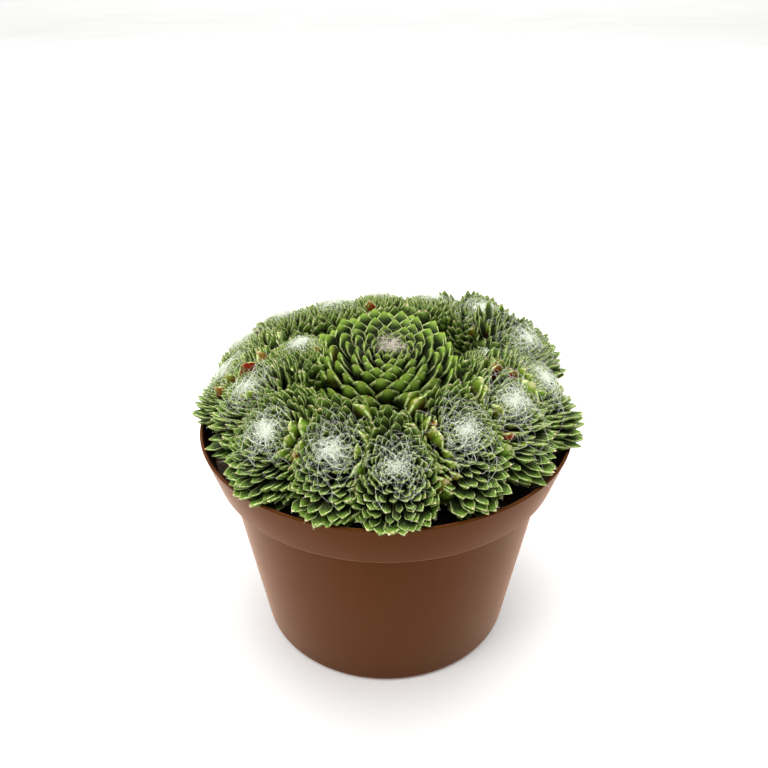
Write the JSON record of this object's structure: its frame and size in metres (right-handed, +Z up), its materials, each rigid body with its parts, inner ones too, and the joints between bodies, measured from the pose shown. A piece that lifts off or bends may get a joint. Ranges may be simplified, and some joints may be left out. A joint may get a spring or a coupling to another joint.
{
  "type": "potted hens and chicks succulent",
  "caption": "Cobweb houseleek in a round nursery pot: a large green hen rosette with smaller web-covered chick rosettes crowded round it, on stems rooted in potting mix.",
  "frame": {"origin": "centre of the flat underside of the pot, on the surface that it stands on", "axes": "+Z up along the pot's axis, -Y to the front that the hen leans to, +X to the right seen from the front"},
  "size_m": [0.1417, 0.1434, 0.1233],
  "materials": {
    "pot_plastic": "satin",
    "potting_mix": "matte",
    "stem": "matte",
    "runner": "matte",
    "hen_leaf": "satin",
    "chick_leaf": "matte"
  },
  "bodies": {
    "root": {"pot": "pot_plastic", "potting_mix": "potting_mix", "hen_stem": "stem", "hen_inner_leaves": "hen_leaf", "hen_outer_leaf_01": "hen_leaf", "hen_outer_leaf_02": "hen_leaf", "hen_outer_leaf_03": "hen_leaf", "hen_outer_leaf_04": "hen_leaf", "hen_outer_leaf_05": "hen_leaf", "hen_outer_leaf_06": "hen_leaf", "hen_outer_leaf_07": "hen_leaf", "hen_outer_leaf_08": "hen_leaf", "hen_outer_leaf_09": "hen_leaf", "hen_outer_leaf_10": "hen_leaf", "hen_outer_leaf_11": "hen_leaf", "hen_outer_leaf_12": "hen_leaf", "hen_outer_leaf_13": "hen_leaf", "chick_01_stem": "stem", "chick_01_leaves": "chick_leaf", "chick_02_stem": "stem", "chick_02_leaves": "chick_leaf", "chick_03_stem": "stem", "chick_03_leaves": "chick_leaf", "chick_04_stem": "stem", "chick_04_leaves": "chick_leaf", "chick_05_stem": "stem", "chick_05_leaves": "chick_leaf", "chick_06_stem": "stem", "chick_06_leaves": "chick_leaf", "chick_07_stem": "stem", "chick_07_leaves": "chick_leaf", "chick_08_stem": "stem", "chick_08_leaves": "chick_leaf", "chick_09_stem": "stem", "chick_09_leaves": "chick_leaf", "chick_10_stem": "stem", "chick_10_leaves": "chick_leaf", "chick_11_stem": "stem", "chick_11_leaves": "chick_leaf", "chick_12_stem": "stem", "chick_12_leaves": "chick_leaf", "chick_13_stem": "stem", "chick_13_leaves": "chick_leaf", "chick_14_stem": "stem", "chick_14_leaves": "chick_leaf", "chick_15_stem": "stem", "chick_15_leaves": "chick_leaf", "chick_16_stem": "stem", "chick_16_leaves": "chick_leaf", "chick_17_stem": "stem", "chick_17_leaves": "chick_leaf", "chick_18_stem": "stem", "chick_18_leaves": "chick_leaf", "runner_to_chick_02": "runner", "runner_to_chick_04": "runner", "runner_to_chick_06": "runner", "runner_to_chick_08": "runner", "runner_to_chick_10": "runner", "runner_to_chick_16": "runner"}
  },
  "joints": []
}
